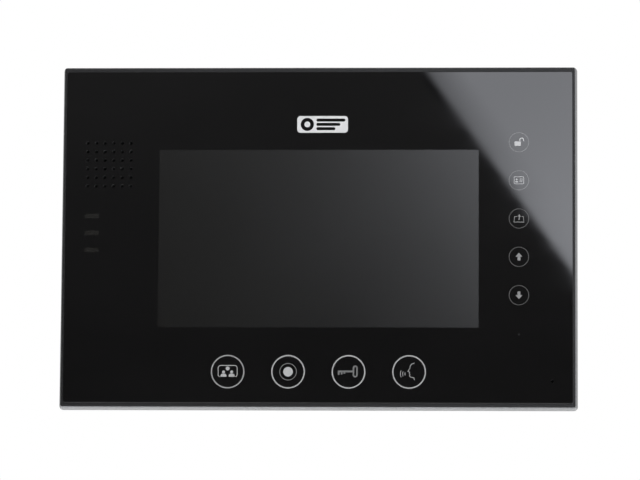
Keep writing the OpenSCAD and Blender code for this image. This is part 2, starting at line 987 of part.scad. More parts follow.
module thumbwheel(i) {
  color([0.12, 0.12, 0.12]) upright() at_wheel(i) {
    difference() {
      disc(wheel_r, wheel_z, wheel_z + wheel_t);
      // grip flutes round the rim
      for (a = [0:flute_step:359])
        rotate([0, 0, a]) translate([wheel_r + flute_out, 0, 0])
          disc(flute_r, wheel_z - 1, wheel_z + wheel_t + 1, $fn = 16);
      // shallow dish and pointer mark on the open face
      disc(wheel_r - dish_rim, wheel_z - 1, wheel_z + dish_t);
      translate([wheel_r - dish_rim / 2, 0, 0])
        block(pointer_w, pointer_h, wheel_z - 1, wheel_z + pointer_t);
    }
    disc(shaft_r, wheel_z + dish_t, shaft_top);
  }
}

module volume_wheel() { thumbwheel(0); }
module brightness_wheel() { thumbwheel(1); }
module colour_wheel() { thumbwheel(2); }

module power_switch_body() {
  slot = knob_w + switch_travel + 2 * slack + 1;
  color("silver") upright() translate([0, switch_y, 0]) difference() {
    translate([switch_face - switch_depth, -switch_h / 2, board_z - switch_t])
      cube([switch_depth, switch_h, switch_t]);
    translate([switch_face - switch_slot_depth, -slot / 2,
               switch_mid_z - knob_t / 2 - slack])
      cube([switch_slot_depth + 1, slot, knob_t + 2 * slack]);
  }
}

// The knob rests at the lower end of its travel
module power_switch_knob() {
  color("black") upright()
    translate([switch_face - switch_slot_depth + 2 * slack,
               switch_y - (knob_w + switch_travel) / 2, switch_mid_z - knob_t / 2])
      cube([knob_length, knob_w, knob_t]);
}

// ---------- rear cover ----------

module cover_layer(w, h, r, inset, z0, z1) {
  slab(w - 2 * inset, h - 2 * inset, r, z0, z1, $fn = 32);
}

// Bevelled at the back, then widening to the seam with the frame
module cover_solid(inset) {
  back = cover_back + inset;
  seam = seam_z + (inset > 0 ? 1 : 0);
  hull() {
    cover_layer(back_w - 2 * back_bevel, back_h - 2 * back_bevel, back_r, inset,
                back, back + eps);
    cover_layer(back_w, back_h, back_r, inset, back + back_rise, back + back_rise + 0.1);
    cover_layer(frame_w - 2 * seam_step, frame_h - 2 * seam_step, seam_r, inset,
                trim_back - 1.2, seam);
  }
}

module at_hook_slots() {
  for (y = hook_ys, x = [-hook_x, hook_x]) translate([x, y, 0]) children();
}

module pocket(grow, z0, z1) {
  translate([0, (pocket_top + pocket_bottom) / 2, 0])
    slab(bracket_w + 2 * (pocket_gap + grow), pocket_top - pocket_bottom + 2 * grow,
         pocket_r, z0, z1);
}

// A slot in the right wall round something of thickness t that starts at z
module side_slot(y, length, z, t) {
  translate([side_slot_x, y - length / 2, z - side_slot_gap])
    cube([side_slot_depth, length, t + 2 * side_slot_gap]);
}

module rear_cover() {
  slot_h = bracket_t + lift + 0.6;
  color([0.06, 0.06, 0.06]) upright() difference() {
    union() {
      difference() {
        cover_solid(0);
        cover_solid(cover_t);
      }
      pocket(cover_t, cover_floor - eps, pocket_floor);
      at_main_screws() tube(main_post_r, pilot_r, cover_floor - eps, board_z);
      at_control_screws() tube(control_post_r, pilot_r, cover_floor - eps, board_z);
      at_corners(case_screw_x, case_screw_y)
        disc(case_boss_r, cover_floor - eps, case_boss_top);
    }
    pocket(0, -1, pocket_back);
    at_corners(case_screw_x, case_screw_y) {
      disc(case_head_r + 0.3, -1, case_seat);
      disc(main_hole_r, -1, body_d);
    }
    translate([0, port_y, 0]) slab(port_w, port_h, port_r, -1, pocket_floor + 1);
    at_hook_slots() translate([0, bracket_t / 2 + slack - slot_h / 2, 0])
      block(hook_w + 0.8, slot_h, -1, pocket_floor + 1);
    // ventilation slots above and below the bracket
    for (i = [-vent_last:vent_last]) translate([i * vent_pitch, 0, 0]) {
      translate([0, top_vent_y, 0])
        slab(vent_w, top_vent_h, vent_r, -1, cover_floor + 1);
      translate([0, low_vent_y, 0])
        slab(vent_w, low_vent_h, vent_r, -1, cover_floor + 1);
    }
    for (i = [0:2])
      side_slot(wheel_top_y - i * wheel_pitch, 2 * wheel_r, wheel_z, wheel_t);
    side_slot(switch_y, 2 * knob_w + 4 * side_slot_gap, switch_mid_z - knob_t / 2, knob_t);
  }
}

module case_screws() {
  color("gray") upright() at_corners(case_screw_x, case_screw_y)
    screw(case_seat, 9, head_r = case_head_r, head_t = 2);
}

module wall_pads() {
  color([0.1, 0.1, 0.1]) upright() at_corners(pad_x, pad_y) disc(pad_r, 0, cover_back);
}

module rating_label() {
  color("silver") upright() translate([label_x, 0, 0])
    slab(label_w, label_h, label_r, cover_back - label_t, cover_back);
}

// ---------- leads ----------

module speaker_lead() {
  color("firebrick") upright() lead(speaker_route, lead_d);
}

module microphone_lead() {
  color("gray") upright() lead(microphone_route, lead_d);
}

module key_lead() {
  color("white") upright() lead(key_route, lead_d);
}

bracket_plate();
front_panel();
key_legends();
badge();
back_print();
panel_tape();
front_frame();
silver_trim();
lcd_frame();
lcd_cell();
lcd_backlight();
lcd_gasket();
lcd_ribbon();
lcd_retainers();
retainer_screws();
bottom_key_board();
side_key_board();
key_light_cups();
touch_springs();
key_leds();
key_board_screws();
status_light_pipe();
indicator_lenses();
indicator_board();
indicator_leds();
speaker_dust_cloth();
speaker_gasket();
speaker_basket();
speaker_cone();
speaker_magnet();
speaker_screws();
microphone_boot();
microphone_felt();
microphone();
main_board();
main_board_chips();
capacitors();
power_inductors();
lock_relay();
wire_headers();
header_pins();
ribbon_connector();
main_board_screws();
control_board();
adjuster_pots();
control_board_screws();
volume_wheel();
brightness_wheel();
colour_wheel();
power_switch_body();
power_switch_knob();
rear_cover();
case_screws();
wall_pads();
rating_label();
speaker_lead();
microphone_lead();
key_lead();
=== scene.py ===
import json
import math
import bpy
from mathutils import Matrix, Vector


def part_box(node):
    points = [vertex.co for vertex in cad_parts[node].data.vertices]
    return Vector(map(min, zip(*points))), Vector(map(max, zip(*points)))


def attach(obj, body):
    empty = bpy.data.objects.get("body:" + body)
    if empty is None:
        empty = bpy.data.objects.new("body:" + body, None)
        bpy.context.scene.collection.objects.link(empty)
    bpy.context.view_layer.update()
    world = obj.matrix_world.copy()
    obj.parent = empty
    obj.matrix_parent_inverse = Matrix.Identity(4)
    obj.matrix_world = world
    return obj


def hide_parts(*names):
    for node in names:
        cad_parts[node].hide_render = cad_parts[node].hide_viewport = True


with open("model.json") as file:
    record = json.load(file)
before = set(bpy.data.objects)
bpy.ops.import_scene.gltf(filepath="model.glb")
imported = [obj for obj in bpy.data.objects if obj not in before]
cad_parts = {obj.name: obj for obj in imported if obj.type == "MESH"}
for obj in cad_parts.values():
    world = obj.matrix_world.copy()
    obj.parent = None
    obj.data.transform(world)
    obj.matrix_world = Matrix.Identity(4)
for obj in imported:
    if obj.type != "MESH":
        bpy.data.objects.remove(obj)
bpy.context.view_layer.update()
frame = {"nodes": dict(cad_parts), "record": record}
scene = bpy.context.scene
scene.view_settings.view_transform = "Standard"
scene.view_settings.look = "None"

MM = 0.001
PANEL_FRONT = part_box("front_panel")[0].y


def middle(node):
    """The middle of a CAD node, to the right and up, in millimetres."""
    low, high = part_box(node)
    return (low.x + high.x) / 2 / MM, (low.z + high.z) / 2 / MM


SCREEN_X, SCREEN_Z = middle("lcd_gasket")


# ---------- camera, fitted to the screen and to the panel's edges ----------

YAW = math.radians(-2.66)
PITCH = math.radians(-7.61)
ROLL = math.radians(0.38)
LENS = 225
SENSOR = 36
CLIP_NEAR = 0.01
CLIP_FAR = 50
# From the camera to the middle of the screen, in metres: right, forward and up
SCREEN_AWAY = Vector((-0.0008, 1.9306, 0.0008))


def turn(yaw, pitch, roll):
    """World to camera axes: the rows are right, forward and up."""
    cy, sy = math.cos(yaw), math.sin(yaw)
    cp, sp = math.cos(pitch), math.sin(pitch)
    cr, sr = math.cos(roll), math.sin(roll)
    about_z = Matrix(((cy, -sy, 0), (sy, cy, 0), (0, 0, 1)))
    about_x = Matrix(((1, 0, 0), (0, cp, -sp), (0, sp, cp)))
    about_y = Matrix(((cr, 0, sr), (0, 1, 0), (-sr, 0, cr)))
    return about_y @ about_x @ about_z


AXES = turn(YAW, PITCH, ROLL)
AIM = Vector((SCREEN_X * MM, PANEL_FRONT, SCREEN_Z * MM))
EYE = AIM - AXES.transposed() @ SCREEN_AWAY


def add_camera():
    """A long lens, so that the perspective is weak."""
    data = bpy.data.cameras.new("camera")
    data.sensor_width = SENSOR
    data.lens = LENS
    data.clip_start = CLIP_NEAR
    data.clip_end = CLIP_FAR
    camera = bpy.data.objects.new("camera", data)
    scene.collection.objects.link(camera)
    right, forward, up = AXES
    facing = Matrix((right, up, -forward)).transposed()
    camera.matrix_world = Matrix.LocRotScale(EYE, facing, None)
    scene.camera = camera


add_camera()


# ---------- nodes ----------

FULL = (0.0, 1.0)
# Most of a noise's values lie in this range
NOISE_RANGE = (0.3, 0.7)


class Tree:
    """Short calls that build the nodes of a material or of the world."""

    def __init__(self, owner):
        owner.use_nodes = True
        self.nodes = owner.node_tree.nodes
        self.links = owner.node_tree.links

    def node(self, kind, inputs=None, **props):
        made = self.nodes.new("ShaderNode" + kind)
        for key, value in props.items():
            setattr(made, key, value)
        for key, value in (inputs or {}).items():
            self.put(made.inputs[key], value)
        return made

    def put(self, socket, value):
        if isinstance(value, bpy.types.NodeSocket):
            self.links.new(value, socket)
        else:
            socket.default_value = value

    def axes(self, vector):
        return self.node("SeparateXYZ", {"Vector": vector}).outputs

    def span(self, value, given, wanted, soft=False):
        """The value, carried from the given range to the wanted one and kept in it."""
        return self.node("MapRange", {
            "Value": value, "From Min": given[0], "From Max": given[1],
            "To Min": wanted[0], "To Max": wanted[1]},
            interpolation_type="SMOOTHSTEP" if soft else "LINEAR").outputs["Result"]

    def math(self, op, a, b=0.0):
        made = self.node("Math", operation=op)
        for socket, value in zip(made.inputs, (a, b)):
            self.put(socket, value)
        return made.outputs[0]


class Finish(Tree):
    """A material, with its shader. Scales are per metre on the object."""

    def __init__(self, name):
        self.mat = bpy.data.materials.new(name)
        super().__init__(self.mat)
        self.bsdf = self.nodes["Principled BSDF"]
        self.place = self.node("TexCoord").outputs["Object"]

    def noise(self, scale, detail=4.0, rough=0.55, stretch=(1, 1, 1), seed=0.0):
        spread = self.node("Mapping", {
            "Vector": self.place, "Scale": stretch, "Location": (seed, seed, seed)})
        return self.node("TexNoise", {
            "Vector": spread.outputs[0], "Scale": scale, "Detail": detail,
            "Roughness": rough}).outputs["Fac"]

    def fleck(self, scale):
        """A random level for each cell of a fine pattern."""
        cells = self.node("TexVoronoi", {"Vector": self.place, "Scale": scale})
        return self.node("SeparateColor", {"Color": cells.outputs["Color"]}).outputs[0]

    def mix(self, share, a, b):
        made = self.node("Mix", data_type="RGBA")
        share_in, a_in, b_in, colour_out = 0, 6, 7, 2
        for key, value in ((share_in, share), (a_in, a), (b_in, b)):
            if isinstance(value, tuple):
                value = (*value, 1.0)[:4]
            self.put(made.inputs[key], value)
        return made.outputs[colour_out]

    def drift(self, noise, colour, vary):
        """The colour, a little darker or lighter with the noise."""
        return self.mix(self.span(noise, NOISE_RANGE, FULL),
                        shade(colour, 1 - vary), shade(colour, 1 + vary))

    def bump(self, height, strength, distance):
        return self.node("Bump", {
            "Height": height, "Strength": strength, "Distance": distance}).outputs[0]

    def set(self, **values):
        for key, value in values.items():
            if isinstance(value, tuple) and len(value) == 3:
                value = (*value, 1.0)
            self.put(self.bsdf.inputs[key.replace("_", " ")], value)
        return self.mat


def shade(colour, factor):
    return tuple(min(1.0, c * factor) for c in colour)


# ---------- materials ----------

def plastic(name, colour, rough, vary=0.12, grain=900.0, bump=0.15, depth=0.00004,
            spec=0.5, wear=0.0):
    """Moulded plastic: a slow drift in colour and gloss, and a fine moulded grain."""
    t = Finish(name)
    slow = t.noise(28.0, 3.0)
    fine = t.noise(grain, 3.0, seed=3.1)
    rubbed = t.noise(60.0, 6.0, 0.7, seed=7.7)
    gloss = t.math("ADD", t.span(fine, NOISE_RANGE, (rough * 0.92, rough * 1.08)),
                   t.span(rubbed, (0.45, 0.75), (0.0, 0.06 + wear)))
    return t.set(Base_Color=t.drift(slow, colour, vary), Roughness=gloss,
                 Specular_IOR_Level=spec, Normal=t.bump(fine, bump, depth))


def metal(name, colour, rough, grain=400.0):
    """Satin metal: a fine grain, with a slow drift in tone and gloss."""
    t = Finish(name)
    fine = t.noise(grain, 4.0, 0.6)
    cloud = t.noise(40.0, 4.0, 0.6, seed=5.3)
    gloss = t.math("ADD", t.span(fine, NOISE_RANGE, (rough * 0.8, rough * 1.2)),
                   t.span(cloud, (0.4, 0.7), (0.0, 0.08)))
    return t.set(Base_Color=t.drift(cloud, colour, 0.1), Metallic=1.0, Roughness=gloss,
                 Normal=t.bump(fine, 0.1, 0.00003))


def zinc(name):
    """Zinc-plated sheet: faint spangles over a rolled grain."""
    t = Finish(name)
    spangle = t.fleck(260.0)
    lay = t.noise(700.0, 3.0, 0.6, (0.08, 1, 1))
    cloud = t.noise(30.0, 5.0, 0.6)
    tone = t.mix(spangle, (0.50, 0.51, 0.53), (0.60, 0.61, 0.62))
    tone = t.mix(t.span(cloud, (0.5, 0.8), (0.0, 0.5)), tone, (0.44, 0.45, 0.46))
    gloss = t.math("ADD", t.span(spangle, FULL, (0.30, 0.40)),
                   t.span(cloud, (0.4, 0.7), (0.0, 0.10)))
    return t.set(Base_Color=tone, Metallic=1.0, Roughness=gloss,
                 Normal=t.bump(lay, 0.12, 0.00002))


def board(name):
    """Circuit board: solder mask over copper runs and a weave."""
    t = Finish(name)
    across, _, upward = t.axes(t.place)
    flat = t.node("CombineXYZ", {"X": across, "Y": upward}).outputs[0]
    runs = t.node("TexBrick", {
        "Vector": flat, "Scale": 160.0, "Mortar Size": 0.06, "Mortar Smooth": 0.3,
        "Brick Width": 0.9, "Row Height": 0.28}).outputs["Fac"]
    areas = t.span(t.noise(70.0, 2.0, seed=2.0), (0.45, 0.55), FULL)
    copper = t.math("MULTIPLY", runs, areas)
    weave = t.noise(1500.0, 2.0)
    tone = t.mix(copper, (0.012, 0.085, 0.035), (0.035, 0.17, 0.07))
    tone = t.mix(t.span(weave, NOISE_RANGE, (0.0, 0.25)), tone, (0.02, 0.11, 0.05))
    return t.set(Base_Color=tone, Roughness=t.span(copper, FULL, (0.38, 0.28)),
                 Normal=t.bump(copper, 0.3, 0.00006))


def trim_paint(name):
    """Satin silver paint: fine metal flakes and a slight orange peel."""
    t = Finish(name)
    flake = t.fleck(5200.0)
    peel = t.noise(420.0, 2.0, seed=1.7)
    rub = t.noise(45.0, 6.0, 0.7, seed=4.0)
    tone = t.mix(flake, (0.30, 0.305, 0.315), (0.34, 0.345, 0.355))
    gloss = t.math("ADD", t.span(flake, FULL, (0.22, 0.28)),
                   t.span(rub, (0.5, 0.8), (0.0, 0.08)))
    return t.set(Base_Color=tone, Metallic=0.9, Roughness=gloss,
                 Coat_Weight=0.3, Coat_Roughness=0.10,
                 Normal=t.bump(peel, 0.03, 0.00002))


def glass_black(name):
    """Polished sheet with black print behind it: a hard gloss, with faint wipe
    marks and specks of dust. Its cut edges are frosted."""
    t = Finish(name)
    wipe = t.noise(9.0, 5.0, 0.65, (1.0, 1.0, 2.2))
    speck = t.span(t.noise(1300.0, 2.0, 0.5, seed=9.0), (0.74, 0.80), FULL)
    tone = t.mix(t.span(wipe, (0.35, 0.7), FULL), (0.0030, 0.0029, 0.0030),
                 (0.0042, 0.0040, 0.0041))
    tone = t.mix(speck, tone, (0.010, 0.010, 0.011))
    gloss = t.math("ADD", t.span(wipe, (0.4, 0.75), (0.018, 0.05)),
                   t.span(speck, FULL, (0.0, 0.15)))
    # The cut edges are where the surface hardly faces forward or backward
    facing = t.axes(t.node("NewGeometry").outputs["Normal"])[1]
    cut = t.span(t.math("ABSOLUTE", facing), (0.15, 0.45), (1.0, 0.0))
    return t.set(Base_Color=t.mix(cut, tone, (0.12, 0.12, 0.122)),
                 Roughness=t.math("MAXIMUM", gloss, t.math("MULTIPLY", cut, 0.5)),
                 Specular_IOR_Level=0.5)


def screen(name):
    """The screen seen through the clear window: a matt filter over fine rows of
    dots, under the panel's hard gloss."""
    t = Finish(name)
    row_pitch = 0.00036
    height = t.axes(t.place)[2]
    rows = t.math("SINE", t.math("MULTIPLY", height, 2 * math.pi / row_pitch))
    cloud = t.noise(14.0, 3.0)
    tone = t.mix(t.span(rows, (-1.0, 1.0), FULL), (0.0008, 0.0007, 0.0003),
                 (0.0018, 0.0016, 0.0010))
    return t.set(Base_Color=tone, Roughness=t.span(cloud, NOISE_RANGE, (0.195, 0.215)),
                 Specular_IOR_Level=0.50, Coat_Weight=1.0, Coat_Roughness=0.02)


def print_ink(name, colour):
    """Printed ink under the gloss: slightly uneven density."""
    t = Finish(name)
    density = t.noise(2200.0, 3.0, 0.6)
    patch = t.noise(160.0, 3.0, seed=2.2)
    tone = t.mix(t.span(density, NOISE_RANGE, FULL), shade(colour, 0.90),
                 shade(colour, 1.06))
    tone = t.mix(t.span(patch, (0.4, 0.7), (0.0, 0.3)), tone, shade(colour, 0.85))
    return t.set(Base_Color=tone, Roughness=t.span(patch, NOISE_RANGE, (0.35, 0.40)),
                 Coat_Weight=1.0, Coat_Roughness=0.02, Specular_IOR_Level=0.0)


def ink(tone):
    """White ink printed thinly enough to look this bright."""
    return print_ink("ink_%02d" % round(100 * tone), (tone, tone, tone))


def label_film(name):
    """Silver film with ruled boxes, and nothing written in them."""
    t = Finish(name)
    low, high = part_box("rating_label")
    across, _, upward = t.axes(t.place)
    # Distances from the label's middle, as shares of its width and height
    aside = t.math("ABSOLUTE", t.span(across, (low.x, high.x), (-0.5, 0.5)))
    rise = t.span(upward, (low.z, high.z), (-0.5, 0.5))
    half_width = 0.42
    half_height = 0.45
    rows = 9.0
    row_line = 0.05
    side_line = 0.008
    in_height = t.math("LESS_THAN", t.math("ABSOLUTE", rise), half_height)
    in_width = t.math("LESS_THAN", aside, half_width)
    rule = t.math("LESS_THAN", t.math("FRACT", t.math("MULTIPLY", rise, rows)), row_line)
    from_side = t.math("ABSOLUTE", t.math("SUBTRACT", aside, half_width))
    side = t.math("LESS_THAN", from_side, side_line)
    lines = t.math("MAXIMUM", side, t.math("MULTIPLY", in_width, rule))
    brush = t.noise(900.0, 3.0, 0.6, (0.03, 1, 1))
    tone = t.mix(t.span(brush, NOISE_RANGE, FULL), (0.50, 0.50, 0.51), (0.60, 0.60, 0.61))
    tone = t.mix(t.math("MULTIPLY", in_height, lines), tone, (0.03, 0.03, 0.03))
    return t.set(Base_Color=tone, Metallic=0.6,
                 Roughness=t.span(brush, NOISE_RANGE, (0.3, 0.42)),
                 Normal=t.bump(brush, 0.05, 0.00002))


MATERIALS = {
    "steel_sheet": zinc("zinc_sheet"),
    "clear_panel": glass_black("gloss_panel"),
    "white_print": print_ink("white_print", (0.80, 0.80, 0.80)),
    "black_print": plastic("black_print", (0.004, 0.004, 0.004), 0.3),
    "foam": plastic("foam", (0.02, 0.02, 0.02), 0.85, grain=2500.0, bump=0.6),
    "black_plastic": plastic("black_plastic", (0.012, 0.012, 0.0124), 0.45,
                             bump=0.08, depth=0.00003, spec=0.3),
    "silver_trim": trim_paint("silver_paint"),
    "screen": screen("screen_filter"),
    "white_plastic": plastic("white_plastic", (0.75, 0.75, 0.73), 0.35, vary=0.04),
    "ribbon": plastic("ribbon_film", (0.55, 0.27, 0.05), 0.3, vary=0.08),
    "screw_steel": metal("screw_steel", (0.55, 0.55, 0.57), 0.3, grain=1200.0),
    "circuit_board": board("circuit_board"),
    "spring_brass": metal("plated_brass", (0.78, 0.60, 0.30), 0.25),
    "lens": plastic("smoke_lens", (0.02, 0.02, 0.02), 0.12, bump=0.03),
    "cloth": plastic("dust_cloth", (0.030, 0.030, 0.030), 0.9, grain=3500.0, bump=0.9),
    "cone_paper": plastic("cone_paper", (0.03, 0.03, 0.032), 0.7, grain=1800.0, bump=0.5),
    "magnet": plastic("ferrite", (0.05, 0.05, 0.052), 0.55, grain=1500.0, bump=0.4),
    "rubber": plastic("rubber", (0.022, 0.022, 0.022), 0.75, grain=1600.0, bump=0.4),
    "can": metal("can_aluminium", (0.66, 0.66, 0.67), 0.28),
    "chip": plastic("chip_epoxy", (0.018, 0.018, 0.018), 0.5, grain=1800.0),
    "header_plastic": plastic("header_nylon", (0.66, 0.61, 0.48), 0.4, vary=0.05),
    "pot_body": plastic("pot_laminate", (0.20, 0.10, 0.04), 0.45),
    "wheel_plastic": plastic("wheel_plastic", (0.022, 0.022, 0.022), 0.42, bump=0.3),
    "cover_plastic": plastic("cover_plastic", (0.020, 0.020, 0.021), 0.5, vary=0.08,
                             grain=1400.0, bump=0.55, depth=0.00007, wear=0.04),
    "label": label_film("label_film"),
    "lead_red": plastic("lead_red", (0.45, 0.02, 0.02), 0.4),
    "lead_grey": plastic("lead_grey", (0.25, 0.25, 0.25), 0.4),
    "lead_white": plastic("lead_white", (0.70, 0.70, 0.68), 0.4),
}

for part in frame["record"]["subparts"]:
    mesh = frame["nodes"][part["node"]].data
    mesh.materials.clear()
    mesh.materials.append(MATERIALS[part["material_slot"]])


# ---------- outlines, in millimetres ----------

def circle(x, y, r, sides=64):
    return [(x + r * math.cos(2 * math.pi * k / sides),
             y + r * math.sin(2 * math.pi * k / sides)) for k in range(sides)]


def ring(x, y, r, line, sides=64):
    return [circle(x, y, r + line / 2, sides), circle(x, y, r - line / 2, sides)]


def rounded(x, y, w, h, r):
    """A rectangle with rounded corners."""
    steps = 6
    points = []
    for quarter, (sx, sy) in enumerate(((1, 1), (-1, 1), (-1, -1), (1, -1))):
        for k in range(steps + 1):
            a = math.pi / 2 * (quarter + k / steps)
            points.append((x + sx * (w / 2 - r) + r * math.cos(a),
                           y + sy * (h / 2 - r) + r * math.sin(a)))
    return points


def frame_line(x, y, w, h, r, line):
    """A rounded rectangle drawn as a line."""
    least_corner = 0.02
    return [rounded(x, y, w + line, h + line, r + line / 2),
            rounded(x, y, w - line, h - line, max(r - line / 2, least_corner))]


def arc(x, y, r, start, end):
    steps = 14
    return [(x + r * math.cos(math.radians(start + (end - start) * k / steps)),
             y + r * math.sin(math.radians(start + (end - start) * k / steps)))
            for k in range(steps + 1)]


def stroke(points, line):
    """The outline of an open line of constant width, with mitred corners."""
    # Keeps the mitre of a sharp corner short
    least_cosine = 0.35
    left, right = [], []
    last = len(points) - 1
    for k, (x, y) in enumerate(points):
        before = Vector(points[max(k - 1, 0)])
        here = Vector((x, y))
        after = Vector(points[min(k + 1, last)])
        into = (here - before).normalized() if k else (after - here).normalized()
        out = (after - here).normalized() if k < last else into
        normal = Vector((-(into + out).y, (into + out).x)).normalized()
        reach = line / 2 / max(normal.dot(Vector((-into.y, into.x))), least_cosine)
        left.append(tuple(here + normal * reach))
        right.append(tuple(here - normal * reach))
    return left + right[::-1]


def moved(outlines, x, y, turn_by=0.0):
    c, s = math.cos(math.radians(turn_by)), math.sin(math.radians(turn_by))
    return [[(x + px * c - py * s, y + px * s + py * c) for px, py in line]
            for line in outlines]


# ---------- printed pieces, as thin plates on the panel ----------

PLATE_RISE = 0.05
# From the drawing's plane to the panel's front, facing the viewer
UPRIGHT = Matrix((
    (1, 0, 0, 0),
    (0, 0, -1, PANEL_FRONT),
    (0, 1, 0, 0),
    (0, 0, 0, 1)))


def plate(name, outlines, material):
    """A plate with these outlines, half of its thickness proud of the panel. An
    outline inside another is a hole in it."""
    curve = bpy.data.curves.new(name, "CURVE")
    curve.dimensions = "2D"
    curve.fill_mode = "BOTH"
    curve.extrude = PLATE_RISE * MM
    for line in outlines:
        spline = curve.splines.new("POLY")
        spline.points.add(len(line) - 1)
        for point, (x, y) in zip(spline.points, line):
            point.co = (x * MM, y * MM, 0, 1)
        spline.use_cyclic_u = True
    flat = bpy.data.objects.new(name + "_outline", curve)
    scene.collection.objects.link(flat)
    bpy.context.view_layer.update()
    shape = flat.evaluated_get(bpy.context.evaluated_depsgraph_get())
    mesh = bpy.data.meshes.new_from_object(shape)
    bpy.data.objects.remove(flat)
    mesh.name = name
    mesh.transform(UPRIGHT)
    mesh.materials.clear()
    mesh.materials.append(material)
    made = bpy.data.objects.new(name, mesh)
    scene.collection.objects.link(made)
    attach(made, "monitor")
    return made


MAIN_PITCH = 29.1
MAIN_RING, MAIN_LINE, MAIN_SIDES = 7.8, 0.6, 96
MAIN_X, MAIN_Z = middle("bottom_key_board")
MAIN_KEYS = [(MAIN_X + (i - 1.5) * MAIN_PITCH, MAIN_Z) for i in range(4)]
SIDE_TOP, SIDE_PITCH = 46.0, 18.6
SIDE_RING, SIDE_LINE = 4.7, 0.3
SIDE_X, _ = middle("side_key_board")
SIDE_KEYS = [(SIDE_X, SIDE_TOP - i * SIDE_PITCH) for i in range(5)]

for i, tone in enumerate((0.29, 0.365, 0.37, 0.36)):
    outline = ring(*MAIN_KEYS[i], MAIN_RING, MAIN_LINE, MAIN_SIDES)
    main_ring = plate("main_key_ring_%d" % (i + 1), outline, ink(tone))
    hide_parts("key_legends")
side_rings = [line for x, y in SIDE_KEYS for line in ring(x, y, SIDE_RING, SIDE_LINE)]
plate("side_key_rings", side_rings, ink(0.10))


# Each pictogram is drawn about its key's middle

def bust(x, y, size):
    """A head and shoulders, as two outlines."""
    steps = 12
    half, foot, neck = 1.25 * size, y - 1.5 * size, y - 0.9 * size
    curve = [(x + half * math.cos(a), neck + 0.75 * size * math.sin(a))
             for a in [math.pi - math.pi * k / steps for k in range(steps + 1)]]
    head = circle(x, y + 0.55 * size, 0.62 * size, 24)
    return [head, [(x - half, foot)] + curve + [(x + half, foot)]]


def people():
    """Two people under a lens, in a frame."""
    art = frame_line(0, 0.2, 9.2, 5.6, 1.3, 0.35)
    art += [circle(0, 1.55, 0.95, 32)]
    return art + bust(-1.95, -0.75, 1.15) + bust(1.95, -0.75, 1.15)


def key():
    """A key with a tall bow on the right and teeth on the left."""
    bow = frame_line(3.2, 0.2, 1.7, 5.0, 0.8, 0.75)
    blade = [(-5.2, 0.65), (1.95, 0.65), (1.95, -0.25), (-1.6, -0.25), (-1.6, -0.95),
             (-2.35, -0.95), (-2.35, -0.25), (-2.95, -0.25), (-2.95, -1.25),
             (-3.7, -1.25), (-3.7, -0.25), (-4.3, -0.25), (-4.3, -1.5), (-5.2, -1.5)]
    return bow + [blade]


def talk():
    """A made-up profile, with sound waves in front of it."""
    profile = stroke([(2.5, 4.2), (1.2, 3.8), (0.5, 2.9), (0.4, 1.8), (-0.6, 0.3),
                      (0.3, -0.1), (0.05, -0.75), (0.5, -1.25), (0.1, -1.8),
                      (0.6, -2.4), (1.5, -2.65), (2.3, -2.8), (2.6, -4.0)], 0.35)
    waves = [stroke(arc(-0.4, -0.9, r, 155, 205), 0.32) for r in (1.6, 2.7, 3.8)]
    return [profile] + waves


def padlock():
    """An open padlock."""
    body = rounded(-0.6, -0.7, 3.1, 2.2, 0.35)
    shackle = stroke([(0.45, 0.65)] + arc(1.35, 1.15, 0.9, 180, 0) + [(2.25, 0.5)], 0.45)
    return [body, shackle]


def card():
    """A card with a head and three lines."""
    art = frame_line(0, 0, 4.6, 3.4, 0.5, 0.25)
    art += [circle(-1.1, 0.35, 0.42, 20), rounded(-1.1, -0.75, 1.3, 0.65, 0.3)]
    return art + [rounded(1.0, y, 1.4, 0.26, 0.1) for y in (0.65, 0.0, -0.65)]


def send():
    """An arrow that leaves a tray."""
    tray = stroke([(-0.9, 1.0), (-2.1, 0.9), (-2.4, -1.75), (2.4, -1.75), (2.1, 0.9),
                   (1.2, 1.0)], 0.25)
    leaving = [(-0.2, -0.75), (0.15, -0.75), (0.45, 0.9), (1.0, 0.8), (0.25, 2.1),
               (-0.6, 1.05), (0.0, 1.0)]
    return [tray, leaving]


def arrow():
    """An arrow that points up."""
    return [[(-0.7, -1.8), (0.7, -1.8), (0.7, 0.0), (1.7, 0.0), (0.0, 1.9), (-1.7, 0.0),
             (-0.7, 0.0)]]


# Name, outlines, brightness, key and turn
LEGENDS = [
    ("people", people(), 0.39, MAIN_KEYS[0], 0),
    ("record_dot", [circle(0, 0, 2.3, 48)], 0.41, MAIN_KEYS[1], 0),
    ("record_ring", ring(0, 0, 4.0, 0.3), 0.18, MAIN_KEYS[1], 0),
    ("key", key(), 0.16, MAIN_KEYS[2], 0),
    ("talk", talk(), 0.29, MAIN_KEYS[3], 0),
    ("padlock", padlock(), 0.36, SIDE_KEYS[0], 0),
    ("card", card(), 0.36, SIDE_KEYS[1], 0),
    ("send", send(), 0.26, SIDE_KEYS[2], 0),
    ("arrow_up", arrow(), 0.25, SIDE_KEYS[3], 0),
    ("arrow_down", arrow(), 0.25, SIDE_KEYS[4], 180),
]
for name, art, tone, (x, y), spin in LEGENDS:
    plate("legend_" + name, moved(art, x, y, spin), ink(tone))


def badge_art():
    """A white plate, with a ring and three bars left out of it."""
    width, height, corner = 24.6, 8.2, 1.6
    ring_x, outer, inner = -7.4, 3.2, 1.4
    bar_x, bar_y, bar_length, bar_line, bar_end = 4.0, 2.1, 14.0, 1.5, 0.7
    # Each bar is shorter than the one above, and starts at the same left end
    shorter, lower = 2.4, 2.1
    art = [rounded(0, 0, width, height, corner)]
    art += [circle(ring_x, 0, outer), circle(ring_x, 0, inner)]
    return art + [rounded(bar_x - shorter / 2 * i, bar_y - lower * i,
                          bar_length - shorter * i, bar_line, bar_end) for i in range(3)]


badge = plate("badge_plate", moved(badge_art(), *middle("badge")), ink(0.62))
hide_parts("badge")

